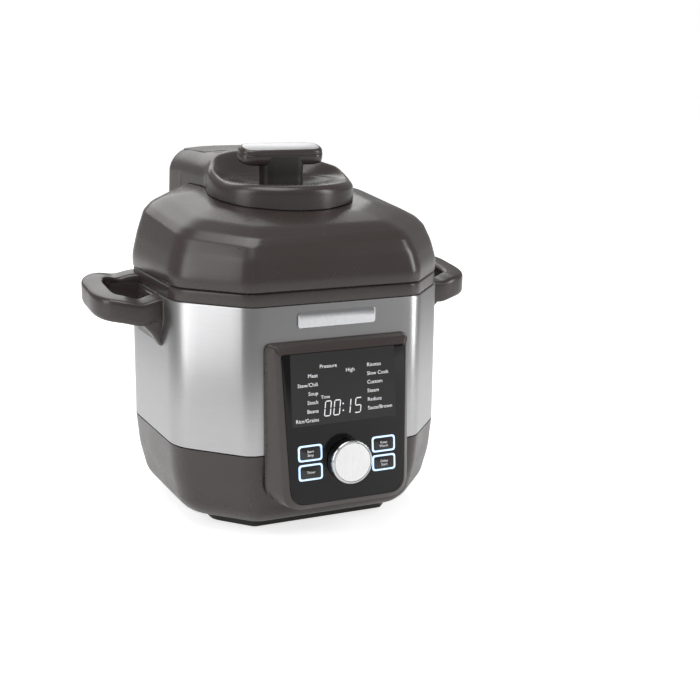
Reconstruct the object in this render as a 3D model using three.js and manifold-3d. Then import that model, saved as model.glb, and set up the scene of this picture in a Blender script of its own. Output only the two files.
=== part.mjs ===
// Electric pressure cooker with a rear-hinged lid, a turning lid lock, a control panel and side handles.
// Millimetres, +Z up, front towards -Y. The cooking pot's axis is the line x = 0, y = 0 of the design,
// and the finished group is shifted along y so that its box is centred.
import * as THREE from 'three';
import { mergeVertices } from 'three/addons/utils/BufferGeometryUtils.js';
import Module from 'manifold-3d';

const wasm = await Module();
wasm.setup();

// ---- driving dimensions -------------------------------------------------------------------------
const GAP = 0.3;                    // air between pieces that touch
const CENTRE_SHIFT = -5;            // along y, puts the middle of the whole box at y = 0
const HALF_WIDTH = 135;             // body half width, x
const HALF_DEPTH = 134;             // body half depth, y
const FRONT_FLAT = 85;              // half width of the flat front face
const REAR_FLAT = 83;               // half width of the flat rear face
const SIDE_FRONT = -75;             // y where the side flat starts
const SIDE_REAR = 62;               // y where the side flat ends
const BAND_BOTTOM = 84;             // steel band, z
const BAND_TOP = 222.8;
const LID_BOTTOM = 235.5;
const LID_SHOULDER = 292;           // z of the lid's upper crease at y = 0
const LID_SLOPE = 0.05;             // the top of the lid rises towards the rear
const DOME_TOP = 305.5;
const WALL = 3;                     // moulded plastic wall
const POT_RIM = 227;                // top of the inner pot
const POT_RADIUS = 109.8;
const GROOVE_RADIUS = 127.6;        // hole in the collar that the lock ring drops into
const LUG_COUNT = 6;
const LUG_ARC = 27 * Math.PI / 180;
const HINGE_Y = 160;
const HINGE_Z = 232;
const CONSOLE_RADIUS = 71.5;        // round part of the lid console
const TOWER_HALF_WIDTH = 60;        // at the top
const TOWER_FOOT = 65;              // half width where the tower meets the lid
const TOWER_REAR = 184;
const TOWER_TOP = 346;
const RIM_TOP = 322.6;              // rim around the lock handle's bowl
const BOWL_FLOOR = 309;
const HANDLE_TOP = 358.4;             // rear edge of the lock handle's sloping top
const HANDLE_SLOPE = 0.2356;          // the top leans to the front, in radians
const HANDLE_DEPTH = 14.5;            // half of the bar's depth
const PANEL_HALF_WIDTH = 72;
const PANEL_BOTTOM = 34;
const PANEL_TOP = 190;
const PANEL_CENTRE_Z = 112;
const PANEL_STAND_OFF = 23;         // from the front wall to the middle of the glass
const PANEL_TILT = 5 * Math.PI / 180;
const BUTTON_X = 37.3;
const BUTTON_ROWS = [-22, -39.8];   // button centres below the middle of the glass
const BUTTON_SIZE = [20.4, 11.6];
const RING_SIZE = [24.4, 15.4];
const KNOB_Z = -33;
const KNOB_RADIUS = 20.6;
const GRIP_REACH = 198;             // outer face of a side handle, x
const GRIP_TOP = 227;
const SCREW_PLACES = [[-58, -62], [58, -62], [58, 66], [-58, 66]];
const FOOT_PLACES = [[-62, -80], [62, -80], [62, 84], [-62, 84]];

const object = new THREE.Group();
object.position.y = CENTRE_SHIFT;

// ---- finishes -----------------------------------------------------------------------------------
const finish = (color, roughness, metalness) => new THREE.MeshStandardMaterial({ color, roughness, metalness });
const charcoal = finish(0x4b4644, 0.45, 0);
const darkPlastic = finish(0x24211f, 0.5, 0);
const brushedSteel = finish(0xc4c2be, 0.35, 1);
const satinSteel = finish(0xb4b4b2, 0.4, 1);
const castMetal = finish(0x8b8d8e, 0.5, 1);
const blackGlass = finish(0x121110, 0.1, 0);
const glow = finish(0xb8d4ff, 0.4, 0);
const rubber = finish(0x1b1a19, 0.8, 0);
const silicone = finish(0xcfcac0, 0.6, 0);
const chrome = finish(0xd8d8d8, 0.12, 1);
const circuitGreen = finish(0x1f5a3a, 0.6, 0);
const smokeClear = finish(0x6f6c69, 0.2, 0);

// ---- solids -------------------------------------------------------------------------------------
function solid(piece) {
  if (piece instanceof wasm.Manifold) return piece;
  const merged = mergeVertices(positionsOnly(piece), 1e-3);
  return new wasm.Manifold(new wasm.Mesh({
    numProp: 3,
    vertProperties: new Float32Array(merged.attributes.position.array),
    triVerts: new Uint32Array(merged.index.array),
  }));
}

function positionsOnly(geometry) {
  const bare = geometry.clone();
  bare.deleteAttribute('normal');
  bare.deleteAttribute('uv');
  return bare;
}

function geometryOf(piece) {
  if (!(piece instanceof wasm.Manifold)) return piece;
  const result = piece.getMesh();
  const geometry = new THREE.BufferGeometry();
  geometry.setAttribute('position', new THREE.BufferAttribute(new Float32Array(result.vertProperties), 3));
  geometry.setIndex(new THREE.BufferAttribute(new Uint32Array(result.triVerts), 1));
  return geometry;
}

const join = (...parts) => parts.map(solid).reduce((whole, part) => whole.add(part));
const cut = (blank, ...tools) => tools.map(solid).reduce((rest, tool) => rest.subtract(tool), solid(blank));
const common = (a, b) => solid(a).intersect(solid(b));

function add(name, piece, material, parent = object) {
  const mesh = new THREE.Mesh(geometryOf(piece), material);
  mesh.name = name;
  parent.add(mesh);
}

function box(x0, x1, y0, y1, z0, z1) {
  const geometry = new THREE.BoxGeometry(x1 - x0, y1 - y0, z1 - z0);
  return geometry.translate((x0 + x1) / 2, (y0 + y1) / 2, (z0 + z1) / 2);
}

// A round bar between two heights on a vertical axis.
function post(radius, z0, z1, x = 0, y = 0, sides = 20) {
  return new THREE.CylinderGeometry(radius, radius, z1 - z0, sides).rotateX(Math.PI / 2).translate(x, y, (z0 + z1) / 2);
}

// A round bar along x.
function barX(radius, x0, x1, y, z, sides = 16) {
  return new THREE.CylinderGeometry(radius, radius, x1 - x0, sides).rotateZ(Math.PI / 2).translate((x0 + x1) / 2, y, z);
}

// A round bar along y.
function barY(radius, y0, y1, x, z, sides = 20) {
  return new THREE.CylinderGeometry(radius, radius, y1 - y0, sides).translate(x, (y0 + y1) / 2, z);
}

// A turned piece: profile points are [radius, z], starting and ending on the axis or on the same point.
function turned(profile, sides = 40) {
  return new THREE.LatheGeometry(profile.map(([r, z]) => new THREE.Vector2(r, z)), sides).rotateX(Math.PI / 2);
}

function ring(inner, outer, z0, z1, sides = 40) {
  return turned([[inner, z0], [outer, z0], [outer, z1], [inner, z1], [inner, z0]], sides);
}

// A closed outline whose corners are rounded: corners are [x, y, radius].
function outline(corners, divisions = 3) {
  const shape = new THREE.Shape();
  corners.forEach(([x, y, radius], i) => {
    const here = new THREE.Vector2(x, y);
    const before = corners[(i + corners.length - 1) % corners.length];
    const after = corners[(i + 1) % corners.length];
    const towards = ([px, py]) => new THREE.Vector2(px, py).sub(here).normalize().multiplyScalar(radius).add(here);
    const start = towards(before);
    const end = towards(after);
    if (i === 0) shape.moveTo(start.x, start.y);
    else shape.lineTo(start.x, start.y);
    if (radius > 0) shape.quadraticCurveTo(x, y, end.x, end.y);
  });
  shape.closePath();
  const points = shape.extractPoints(divisions).shape;
  if (points[0].distanceTo(points[points.length - 1]) < 1e-3) points.pop();
  return new THREE.Shape(points);
}

const rectangle = (w, h, r) => outline([[-w, -h, r], [w, -h, r], [w, h, r], [-w, h, r]]);

function slab(shape, z0, z1, steps = 1) {
  const geometry = new THREE.ExtrudeGeometry(shape, { depth: z1 - z0, steps, bevelEnabled: false });
  return geometry.translate(0, 0, z0);
}

// The body's eight-sided outline, drawn in by an inset all round.
function bodyOutline(inset = 0) {
  const frontTurn = Math.atan2(SIDE_FRONT + HALF_DEPTH, HALF_WIDTH - FRONT_FLAT);
  const rearTurn = Math.atan2(HALF_DEPTH - SIDE_REAR, HALF_WIDTH - REAR_FLAT);
  const w = HALF_WIDTH - inset;
  const d = HALF_DEPTH - inset;
  const front = FRONT_FLAT - inset * Math.tan(frontTurn / 2);
  const rear = REAR_FLAT - inset * Math.tan(rearTurn / 2);
  const sideFront = SIDE_FRONT + inset * Math.tan((Math.PI / 2 - frontTurn) / 2);
  const sideRear = SIDE_REAR - inset * Math.tan((Math.PI / 2 - rearTurn) / 2);
  const crisp = Math.max(14 - inset / 3, 3);
  const soft = Math.max(26 - inset / 2, 3);
  return outline([
    [-front, -d, crisp], [front, -d, crisp], [w, sideFront, soft], [w, sideRear, soft],
    [rear, d, soft], [-rear, d, soft], [-w, sideRear, soft], [-w, sideFront, soft],
  ]);
}

// A solid whose outline changes with height: levels are [z, inset at the sides, inset at front and back],
// with the rise of that level along y where it has one.
function loft(levels, extra = 0) {
  const steps = levels.length - 1;
  const geometry = slab(bodyOutline(0), 0, steps, steps);
  const position = geometry.attributes.position;
  for (let i = 0; i < position.count; i += 1) {
    const [z, sideInset, endInset, slope = 0] = levels[Math.round(position.getZ(i))];
    position.setX(i, position.getX(i) * (HALF_WIDTH - sideInset - extra) / HALF_WIDTH);
    position.setY(i, position.getY(i) * (HALF_DEPTH - endInset - extra) / HALF_DEPTH);
    position.setZ(i, z + slope * position.getY(i));
  }
  return geometry;
}

// ---- base, band and collar ----------------------------------------------------------------------
const BASE_LEVELS = [[11.5, 20, 20], [17, 14, 14], [27, 8, 8], [54, 2.5, 2.5], [BAND_BOTTOM - GAP, 0, 0]];

function addBase() {
  const hollow = BASE_LEVELS.map(([z, a, b], i) => [i === 0 ? z + WALL + 1 : z, a, b]);
  hollow[hollow.length - 1][0] += 1;
  const bosses = SCREW_PLACES.map(([x, y]) => post(6, 12, 34, x, y, 14));
  const bossHoles = SCREW_PLACES.map(([x, y]) => post(2.1, 10, 28, x, y, 10));
  const shell = cut(loft(BASE_LEVELS), loft(hollow, WALL), slab(bodyOutline(58), 5, 20));
  const shelf = cut(slab(bodyOutline(52), 11.5, 15.5), slab(bodyOutline(74), 5, 20));
  const inlet = box(-18, 18, 120, 140, 30, 58);
  add('base_housing', cut(join(shell, shelf, ...bosses), ...bossHoles, inlet), charcoal);
}

function addBottomPlate() {
  const plate = cut(slab(bodyOutline(38), 1.5, 11.2), slab(bodyOutline(41), 4, 12));
  const pillars = SCREW_PLACES.map(([x, y]) => post(7, 1.5, 11.2, x, y, 14));
  const holes = SCREW_PLACES.map(([x, y]) => post(2.3, 0, 12, x, y, 10));
  const sinks = SCREW_PLACES.map(([x, y]) => post(4.2, 0, 4.4, x, y, 14));
  add('bottom_plate', cut(join(plate, ...pillars), ...holes, ...sinks), darkPlastic);
  SCREW_PLACES.forEach(([x, y], i) => {
    add(`base_screw_${i + 1}`, join(post(3.7, 1.9, 4.1, x, y, 12), post(1.8, 3.9, 26, x, y, 8)), satinSteel);
  });
  FOOT_PLACES.forEach(([x, y], i) => add(`foot_${i + 1}`, post(9.5, 0, 1.2, x, y, 18), rubber));
}

function addBand() {
  const band = cut(slab(bodyOutline(0), BAND_BOTTOM, BAND_TOP), slab(bodyOutline(1.4), 80, 230));
  const wiring = box(-40, 40, -140, -125, 96, 150);
  add('steel_band', cut(band, wiring), brushedSteel);
}

function addCollar() {
  const rim = slab(bodyOutline(1.2), BAND_TOP + GAP, LID_BOTTOM - 0.5);
  const lip = slab(bodyOutline(1.7), 211.5, BAND_TOP + GAP);
  const groove = post(GROOVE_RADIUS, 214.5, 240, 0, 0, 48);
  const well = post(117.2, 205, 216, 0, 0, 48);
  add('top_collar', cut(join(rim, lip), groove, well), charcoal);
}

// ---- heating well, pot and lug ring ---------------------------------------------------------------
function addWell() {
  const lugMiddles = Array.from({ length: LUG_COUNT }, (_, i) => i * 2 * Math.PI / LUG_COUNT);
  const lugs = common(ring(116, 121.5, 224.6, 228.1, 48), sectors(lugMiddles, LUG_ARC));
  const hoop = turned([[114.8, 214.8], [126.8, 214.8], [126.8, 216.4], [116.3, 216.4], [116.3, 228.2],
    [114.8, 228.2], [114.8, 214.8]], 48);
  add('lug_ring', join(hoop, lugs), satinSteel);
  add('heating_well', turned([[24, 50], [112.9, 50], [112.9, 212], [114.4, 214.6], [114.4, 223.4], [111.7, 223.4],
    [111.7, 51.3], [24, 51.3], [24, 50]], 40), satinSteel);
  add('heating_plate', turned([[15, 56], [28, 56], [28, 51.6], [44, 51.6], [44, 56], [88, 56], [88, 62], [98, 66.5],
    [98, 68.4], [15, 68.4], [15, 56]], 36), castMetal);
  add('inner_pot', turned([[0, 68.8], [98, 68.8], [106, 72], [POT_RADIUS, 80], [POT_RADIUS, 223.8], [114.2, 223.8],
    [114.2, 225.2], [111, POT_RIM], [108.4, POT_RIM], [108.4, 81], [104.8, 73.4], [97.5, 70.3], [0, 70.3]], 44), satinSteel);
}

function addSensor() {
  add('pot_sensor', turned([[0, 66], [7, 66], [7, 56.5], [9, 56.5], [9, 54.8], [11, 54.8], [11, 57.8], [9.2, 60],
    [9.2, 68.4], [0, 68.4]], 20), castMetal);
  const coil = helix(5, 46.4, 54.2, 5, 0.7);
  add('sensor_spring', coil, satinSteel);
  add('sensor_cup', turned([[0, 43], [13, 43], [13, 49], [11.6, 49], [11.6, 45], [0, 45]], 20), darkPlastic);
}

// A coil spring on the z axis as one closed tube.
function helix(radius, z0, z1, turns, wire) {
  const points = Array.from({ length: turns * 10 + 1 }, (_, i) => {
    const angle = i * Math.PI / 5;
    const z = z0 + (z1 - z0) * i / (turns * 10);
    return new THREE.Vector3(radius * Math.cos(angle), radius * Math.sin(angle), z);
  });
  const path = new THREE.CatmullRomCurve3(points);
  const section = new THREE.Shape(Array.from({ length: 5 }, (_, i) => {
    const angle = i * 2 * Math.PI / 5;
    return new THREE.Vector2(wire * Math.cos(angle), wire * Math.sin(angle));
  }));
  return new THREE.ExtrudeGeometry(section, { steps: turns * 10, extrudePath: path, bevelEnabled: false });
}

// ---- electrics in the base ------------------------------------------------------------------------
function addElectrics() {
  add('power_board', cut(box(-70, 20, 60, 112, 36, 37.8), box(-72, -50, 58, 70, 30, 40)), circuitGreen);
  const socket = cut(box(-17.5, 17.5, 115, 135, 30.5, 57.5), box(-12, 12, 120, 140, 36, 52));
  const flange = cut(box(-22, 22, 134.4, 137, 26, 62), box(-12, 12, 120, 140, 36, 52));
  add('power_inlet', join(socket, flange), darkPlastic);
}

// ---- side handles ---------------------------------------------------------------------------------
// The right handle is drawn, and the left one is the same piece turned half a turn about z.
function addHandle(name, turn) {
  const plan = outline([
    [139, -51, 4], [166, -53, 12], [GRIP_REACH, -36, 20], [GRIP_REACH, 36, 20], [166, 53, 12], [139, 51, 4],
    [139, 33, 2], [160, 34, 7], [176, 24, 9], [176, -24, 9], [160, -34, 7], [139, -33, 2],
  ]);
  const grip = slab(plan, GRIP_TOP - 22, GRIP_TOP);
  const gussetSide = new THREE.Shape([
    new THREE.Vector2(139, GRIP_TOP - 6), new THREE.Vector2(139, 172), new THREE.Vector2(143, 172),
    new THREE.Vector2(172, GRIP_TOP - 20), new THREE.Vector2(172, GRIP_TOP - 6),
  ]);
  const gussets = [-1, 1].map((end) => slab(gussetSide, -8, 8).rotateX(Math.PI / 2).translate(0, end * 42.5, 0));
  const flange = box(HALF_WIDTH + GAP, 140, -53, 53, 174, 221.5);
  add(name, geometryOf(join(grip, ...gussets, flange)).rotateZ(turn), charcoal);
}

// ---- control panel --------------------------------------------------------------------------------
// Pieces of the panel are drawn in the glass's own frame: x right, y into the body, z up the glass.
const panel = new THREE.Group();
panel.position.set(0, -(HALF_DEPTH + PANEL_STAND_OFF), PANEL_CENTRE_Z);
panel.rotation.x = -PANEL_TILT;
object.add(panel);

function intoPanel(geometry) {
  const frame = new THREE.Matrix4().makeRotationX(-PANEL_TILT);
  frame.setPosition(0, -(HALF_DEPTH + PANEL_STAND_OFF), PANEL_CENTRE_Z);
  return geometry.clone().applyMatrix4(frame);
}

// A plate across the panel, from one depth behind the glass to another.
function plate(shape, y0, y1) {
  return slab(shape, -y1, -y0).rotateX(Math.PI / 2);
}

const GLASS_CORNERS = [[-57, -69.5, 12], [57, -69.5, 12], [62.3, 69.5, 5], [-62.3, 69.5, 5]];
const buttonPlaces = BUTTON_ROWS.flatMap((z) => [[-BUTTON_X, z], [BUTTON_X, z]]);

function addBezel() {
  // Wedge between the front wall and the glass: wide at the back, the size of the glass in front.
  const wedge = slab(outline([[-1, -1, 0.22], [1, -1, 0.22], [1, 1, 0.12], [-1, 1, 0.12]]), 0, 2, 2);
  const position = wedge.attributes.position;
  const back = { x: PANEL_HALF_WIDTH, z0: PANEL_BOTTOM, z1: PANEL_TOP };
  for (let i = 0; i < position.count; i += 1) {
    const u = position.getX(i);
    const v = position.getY(i);
    const level = Math.round(position.getZ(i));
    const backPoint = new THREE.Vector3(u * back.x, -(HALF_DEPTH + GAP), (back.z0 + back.z1) / 2 + v * (back.z1 - back.z0) / 2);
    const midPoint = backPoint.clone().setY(-(HALF_DEPTH + 6));
    const front = new THREE.Vector3(u * (59.6 + 2.7 * v + 2.2), 0, v * 71.5);
    front.applyAxisAngle(new THREE.Vector3(1, 0, 0), -PANEL_TILT);
    front.add(new THREE.Vector3(0, -(HALF_DEPTH + PANEL_STAND_OFF), PANEL_CENTRE_Z));
    const point = [backPoint, midPoint, front][level];
    position.setXYZ(i, point.x, point.y, point.z);
  }
  const pocket = intoPanel(plate(outline(GLASS_CORNERS.map(([x, z, r]) => [x * 1.004, z * 1.004, r])), -2, 2.4));
  const chamber = intoPanel(plate(outline([[-52, -60, 4], [52, -60, 4], [54, 62, 4], [-54, 62, 4]]), 2, 40));
  add('control_bezel', cut(wedge, pocket, chamber), charcoal);
}

function addPanelPieces() {
  const [bw, bh] = BUTTON_SIZE.map((side) => side / 2);
  const [rw, rh] = RING_SIZE.map((side) => side / 2);
  const at = (piece, [x, z]) => geometryOf(piece).translate(x, 0, z);
  const knobHole = barY(11, -5, 5, 0, KNOB_Z, 24);
  const ringHoles = buttonPlaces.map((place) => at(plate(rectangle(rw + GAP, rh + GAP, 2.6), -5, 5), place));
  add('display_glass', cut(plate(outline(GLASS_CORNERS), 0, 2), knobHole, ...ringHoles), blackGlass, panel);
  buttonPlaces.forEach((place, i) => {
    const frame = cut(plate(rectangle(rw, rh, 2.5), -0.7, 4.6), plate(rectangle(bw + GAP, bh + GAP, 1.8), -3, 6));
    add(`button_light_${i + 1}`, at(frame, place), glow, panel);
    const cap = join(plate(rectangle(bw, bh, 1.8), -1.4, 3.4), barY(2.6, 3, 6.6, 0, 0, 10));
    add(`button_${i + 1}`, at(cap, place), darkPlastic, panel);
  });
  add('display_module', box(-46, 46, 2.7, 5.8, 2, 60), darkPlastic, panel);
  const board = box(-50, 50, 8.1, 9.7, -58, 60);
  add('control_board', cut(board, barY(7.5, 7, 11, 0, KNOB_Z, 16)), circuitGreen, panel);
  add('dial_encoder', cut(barY(7.2, 4.6, 15, 0, KNOB_Z, 16), barY(3.5, 3, 12, 0, KNOB_Z, 12)), castMetal, panel);
  add('dial_spindle', barY(3.2, -9.8, 10.4, 0, KNOB_Z, 12), satinSteel, panel);
  const skirt = barY(KNOB_RADIUS, -12, -1.2, 0, KNOB_Z, 40);
  const recess = barY(KNOB_RADIUS - 2.2, -15, -9.6, 0, KNOB_Z, 36);
  const bore = barY(3.5, -10.5, 0, 0, KNOB_Z, 12);
  add('selector_knob', cut(skirt, recess, bore), chrome, panel);
  add('knob_cap', barY(KNOB_RADIUS - 2.6, -12.6, -10.1, 0, KNOB_Z, 36), satinSteel, panel);
}

// A blank plate where a name would go, on the band above the panel.
function addBadge() {
  const blank = slab(rectangle(39, 7.6, 3.4), 0, 0.9).rotateX(Math.PI / 2);
  add('front_badge', blank.translate(0, -(HALF_DEPTH + GAP), 208.5), chrome);
}

// ---- lid shell and console ------------------------------------------------------------------------
const LID_LEVELS = [
  [LID_BOTTOM, 1, 1, 0], [246, 0, 0.5, 0], [268, 6, 6, 0.4 * LID_SLOPE],
  [LID_SHOULDER - 4, 12.5, 12, LID_SLOPE], [LID_SHOULDER + 4, 17, 17, LID_SLOPE], [299, 26, 24, LID_SLOPE],
  [303, 46, 42, LID_SLOPE], [DOME_TOP, 66, 64, LID_SLOPE], [301, 92, 92, 0],
];
// The lid's levels with the bottom one moved down by one amount and the rest up by another.
const lidLevels = (down, up) => LID_LEVELS.map(([z, a, b, rise], i) => [i === 0 ? z - down : z + up, a, b, rise]);
const SHAFT_RADIUS = 7;
const EXHAUST = { x: 0, y: 100, inner: 3, outer: 6.5 };
const FLOAT = { x: 31, y: 20, radius: 2.8 };
const PILLAR_ANGLES = [2, 122, 242].map((degrees) => degrees * Math.PI / 180);
const PILLAR_BOTTOM = 256.2;
const VENT_Y = 130;                 // middle of the steam vent
const COVER_BOTTOM = TOWER_TOP - 4.6;

function addLidCover() {
  const inside = loft(lidLevels(2, -WALL), WALL);
  const shaftHole = post(SHAFT_RADIUS + 2.5, 250, 320, 0, 0, 24);
  const exhaustHole = post(EXHAUST.outer + 1, 260, 320, EXHAUST.x, EXHAUST.y, 20);
  const floatHole = post(FLOAT.radius + 2, 260, 320, FLOAT.x, FLOAT.y, 16);
  const pillars = PILLAR_ANGLES.map((angle) => common(
    post(6, PILLAR_BOTTOM, 320, 52 * Math.cos(angle), 52 * Math.sin(angle), 12),
    loft(LID_LEVELS),
  ));
  const shell = cut(loft(LID_LEVELS), inside);
  add('lid_cover', cut(join(shell, ...pillars), shaftHole, exhaustHole, floatHole), charcoal);
}

function addLidLining() {
  const sheet = cut(slab(bodyOutline(5), 238.2, 240.7), post(GROOVE_RADIUS + 0.4, 230, 245, 0, 0, 48));
  add('lid_lining', sheet, darkPlastic);
}

// The tower behind the round part of the console: side view, cut to its plan and to its rounded top.
function towerBlank() {
  const sideView = outline([
    [-30, 296, 0], [TOWER_REAR - 44, 262, 0], [TOWER_REAR - 44, 238, 2], [TOWER_REAR, 238, 3],
    [TOWER_REAR, TOWER_TOP, 22], [50, TOWER_TOP, 10], [2, 324, 12], [-30, 320, 0],
  ]);
  const side = slab(sideView, -80, 80).rotateX(Math.PI / 2).rotateZ(Math.PI / 2);
  const plan = slab(outline([[-TOWER_FOOT, -25, 2], [TOWER_FOOT, -25, 2],
    [TOWER_FOOT, TOWER_REAR, 20], [-TOWER_FOOT, TOWER_REAR, 20]]), 200, 400);
  const endView = outline([[-80, 200, 0], [80, 200, 0], [TOWER_FOOT, 270, 0], [TOWER_HALF_WIDTH, TOWER_TOP, 18],
    [-TOWER_HALF_WIDTH, TOWER_TOP, 18], [-TOWER_FOOT, 270, 0]]);
  const end = slab(endView, -200, 200).rotateX(Math.PI / 2);
  return common(common(side, plan), end);
}

function addConsole() {
  const drum = turned([[0, 280], [CONSOLE_RADIUS, 280], [CONSOLE_RADIUS, 300], [CONSOLE_RADIUS - 2, 314],
    [CONSOLE_RADIUS - 6, 320], [CONSOLE_RADIUS - 12, RIM_TOP], [0, RIM_TOP]], 44);
  const bowl = turned([[0, BOWL_FLOOR], [44, BOWL_FLOOR], [50, BOWL_FLOOR + 6], [52.5, 330], [52.5, 380], [0, 380]], 36);
  const underLid = loft(lidLevels(1, GAP), -GAP);
  const drumHollow = turned([[0, 270], [CONSOLE_RADIUS - 3, 270], [CONSOLE_RADIUS - 3, 300], [56, BOWL_FLOOR - 3],
    [0, BOWL_FLOOR - 3]], 36);
  const inner = TOWER_HALF_WIDTH - WALL;
  const chamber = box(-inner, inner, 62, TOWER_REAR - WALL, 230, 318);
  const ventWell = slab(rectangle(43, 41, 10), 321, TOWER_TOP).translate(0, VENT_Y, 0);
  const coverSeat = slab(rectangle(47, 45, 14), COVER_BOTTOM - GAP, 360).translate(0, VENT_Y, 0);
  const exhaustHole = post(EXHAUST.outer + 0.6, 280, 330, EXHAUST.x, EXHAUST.y, 20);
  const shaftHole = post(SHAFT_RADIUS + GAP, 290, 320, 0, 0, 24);
  const floatHole = post(FLOAT.radius + 0.8, 290, 345, FLOAT.x, FLOAT.y, 16);
  const lidCut = cut(join(drum, towerBlank()), underLid);
  const tools = [bowl, drumHollow, chamber, ventWell, coverSeat, exhaustHole, shaftHole, floatHole];
  const arms = [-1, 1].flatMap((side) => {
    const [x0, x1] = side > 0 ? [50, 57.5] : [-57.5, -50];
    return [box(x0, x1, HINGE_Y - 8, HINGE_Y + 8, HINGE_Z, 320), barX(9, x0, x1, HINGE_Y, HINGE_Z)];
  });
  const pinHole = barX(4.3, -59, 59, HINGE_Y, HINGE_Z);
  add('lid_console', cut(join(cut(lidCut, ...tools), ...arms), pinHole), charcoal);
}

// ---- pressure lid, valves and vent cover -----------------------------------------------------------
function addPressureLid() {
  const dome = turned([[0, 255], [40, 254.3], [88, 247.8], [104, 238.5], [104, 234.2], [116.4, 234.2],
    [116.4, 229.2], [117.4, 229.2], [117.4, 239.3], [106, 241.5], [90, 250], [40, 256.5], [0, 257]], 44);
  const exhaustHole = post(EXHAUST.inner, 220, 260, EXHAUST.x, EXHAUST.y, 14);
  const floatHole = post(FLOAT.radius + 0.5, 220, 260, FLOAT.x, FLOAT.y, 14);
  add('pressure_lid', cut(dome, exhaustHole, floatHole), satinSteel);
  add('sealing_gasket', turned([[108, 227.4], [113.6, 227.4], [115.9, 229.8], [115.9, 233.8], [104.6, 233.8],
    [104.6, 229], [108, 227.4]], 44), silicone);
}

function addValves() {
  const { x, y } = EXHAUST;
  const pipe = ring(EXHAUST.inner, EXHAUST.outer, 249, 327, 18).translate(x, y, 0);
  add('exhaust_pipe', pipe, satinSteel);
  const weight = turned([[0, 318], [2.3, 318], [2.3, 327.3], [9, 327.3], [10, 329], [10, 333], [8, 335], [0, 335]], 20);
  add('pressure_weight', weight.translate(x, y, 0), darkPlastic);
  const pin = turned([[0, 244], [4.6, 244], [4.6, 246], [FLOAT.radius, 246], [FLOAT.radius, 309.6], [0, 309.6]], 14);
  add('float_valve', pin.translate(FLOAT.x, FLOAT.y, 0), satinSteel);
  const cover = slab(rectangle(46.6, 44.6, 13.6), COVER_BOTTOM, TOWER_TOP - 0.5).translate(0, VENT_Y, 0);
  const slots = [-18, -6, 6, 18].map((across) => box(across - 2, across + 2, 116, 158, 330, 350));
  const thumb = post(7, TOWER_TOP - 2.4, 350, 0, VENT_Y - 44.6, 18);
  add('steam_vent_cover', cut(cover, ...slots, thumb), charcoal);
}

// ---- lid lock ----------------------------------------------------------------------------------------
const ARM_ANGLES = [47, 167, 287].map((degrees) => degrees * Math.PI / 180);

function addLock() {
  const skirt = turned([[118.4, 239.5], [124.3, 239.5], [124.3, 219], [126.3, 219], [126.3, 241.5], [118.4, 241.5],
    [118.4, 239.5]], 48);
  const lugs = common(ring(118.7, 124.6, 219, 222.2, 48), sectors(Array.from({ length: LUG_COUNT },
    (_, i) => Math.PI / 6 + i * 2 * Math.PI / LUG_COUNT), LUG_ARC));
  add('lock_ring', join(skirt, lugs), satinSteel);
  const dish = turned([[7.3, 260], [40, 260], [100, 251.5], [117.5, 241.8], [126, 241.8], [126, 243.8], [118.5, 243.8],
    [101, 254], [40, 262.6], [7.3, 262.6], [7.3, 260]], 48);
  const hub = post(16, 240, 280, 0, 0, 24);
  add('lock_spider', common(dish, join(hub, sectors(ARM_ANGLES, 14 * Math.PI / 180))), castMetal);
  const shaft = turned([[0, 257.7], [9, 257.7], [9, 259.7], [SHAFT_RADIUS, 259.7], [SHAFT_RADIUS, 318], [0, 318]], 24);
  add('lock_shaft', cut(shaft, post(2.5, 296, 330, 0, 0, 12)), satinSteel);
}

// Wedges from the axis, each as wide as an arc about its angle.
function sectors(angles, arc) {
  const reach = 180;
  const corner = (angle) => new THREE.Vector2(reach * Math.cos(angle), reach * Math.sin(angle));
  return join(...angles.map((middle) => slab(
    new THREE.Shape([new THREE.Vector2(0, 0), corner(middle - arc / 2), corner(middle + arc / 2)]), 200, 280)));
}

function addLockHandle() {
  const middle = HANDLE_TOP - HANDLE_DEPTH * Math.tan(HANDLE_SLOPE);
  const leaning = (geometry) => geometry.rotateX(HANDLE_SLOPE).translate(0, 0, middle);
  const blank = slab(rectangle(44, HANDLE_DEPTH, 14), 337.2, HANDLE_TOP + 5);
  const above = leaning(slab(rectangle(60, 40, 2), 0, 30));
  const stem = slab(rectangle(22, 12, 11), BOWL_FLOOR + 0.8, 342);
  const pocket = leaning(slab(rectangle(41.3, 12, 11.7), -1.6, 5));
  const bore = post(SHAFT_RADIUS + GAP, 300, 318.4, 0, 0, 24);
  const screwHole = post(2.5, 310, 365, 0, 0, 12);
  const sink = post(5.6, 347.4, 365, 0, 0, 18);
  add('lock_handle', cut(join(blank, stem), above, pocket, bore, screwHole, sink), charcoal);
  add('handle_inlay', leaning(slab(rectangle(41, 11.7, 11.4), -1.2, 0)), brushedSteel);
  add('handle_screw', join(post(5.2, 347.8, 350.6, 0, 0, 16), post(2.2, 300, 349, 0, 0, 12)), satinSteel);
}

// ---- hinge and condensate cup ------------------------------------------------------------------------
const EAR = [38, 46];

function addHinge() {
  const bore = barX(4.3, -80, 80, HINGE_Y, HINGE_Z);
  const ears = [-1, 1].flatMap((side) => {
    const [x0, x1] = side > 0 ? EAR : [-EAR[1], -EAR[0]];
    return [box(x0, x1, 137, HINGE_Y, HINGE_Z - 8, HINGE_Z + 8), barX(8, x0, x1, HINGE_Y, HINGE_Z, 20)];
  });
  const backing = box(-46, 46, HALF_DEPTH + 0.4, 138, 198, 233.5);
  add('hinge_bracket', cut(join(backing, ...ears), bore), darkPlastic);
  add('hinge_pin', barX(4, -56, 56, HINGE_Y, HINGE_Z, 16), satinSteel);
  const coil = helix(6.2, -28, 28, 9, 1.2).rotateY(Math.PI / 2);
  add('lid_spring', coil.translate(0, HINGE_Y, HINGE_Z), satinSteel);
}

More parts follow.
